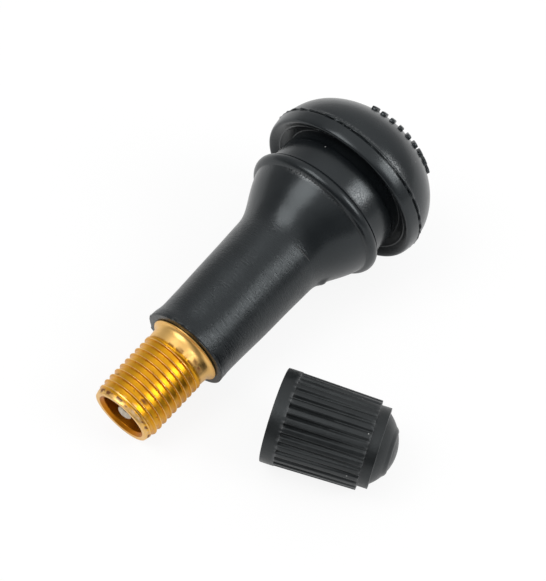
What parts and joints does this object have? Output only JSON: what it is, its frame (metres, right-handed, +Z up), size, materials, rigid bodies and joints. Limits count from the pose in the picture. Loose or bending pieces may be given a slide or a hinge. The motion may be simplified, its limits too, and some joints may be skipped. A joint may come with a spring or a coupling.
{
  "type": "tyre valve",
  "caption": "Rubber snap-in tyre valve with a threaded brass stem, a sprung screw-in core and a ribbed plastic dust cap lying beside it.",
  "frame": {"origin": "centre of the rim groove, on the valve's axis", "axes": "+Z up from the surface the valve lies on; +X along the valve towards its head, level, so the valve's axis rises about 10 degrees above it"},
  "size_m": [0.0461, 0.0355, 0.0206],
  "materials": {
    "black_rubber": "satin, with fine scratches",
    "gold_brass": "bright, threaded",
    "core_brass": "turned",
    "red_seal": "matte",
    "spring_steel": "drawn wire",
    "pin_steel": "satin",
    "seal_rubber": "matte",
    "cap_plastic": "moulded, matte"
  },
  "bodies": {
    "valve": {"rubber_body": "black_rubber", "brass_stem": "gold_brass", "cap": "cap_plastic"},
    "core": {"core_barrel": "core_brass", "barrel_seal": "red_seal", "core_spring": "spring_steel"},
    "plug": {"core_plug": "core_brass"},
    "pin": {"core_pin": "pin_steel", "plunger_cup": "core_brass", "plunger_seal": "seal_rubber"}
  },
  "joints": [
    {"name": "core_travel", "type": "slide", "parent": "valve", "child": "core", "axis": [-0.9846, 0, -0.1749], "range_m": [0, 0.00423]},
    {"name": "plug_turn", "type": "hinge", "parent": "core", "child": "plug", "pos_m": [-0.03, 0, -0.00533], "axis": [-0.9846, 0, -0.1749], "range_deg": [0, 2160]},
    {"name": "pin_press", "type": "slide", "parent": "core", "child": "pin", "axis": [0.9846, 0, 0.1749], "range_m": [0, 0.0016], "stiffness_N_per_m": 400, "springref_m": -0.0002, "deforming": ["core_spring"]}
  ],
  "couplings": [
    {"joint": "plug_turn", "follows": "core_travel", "rad_per_m": 8904.7}
  ]
}
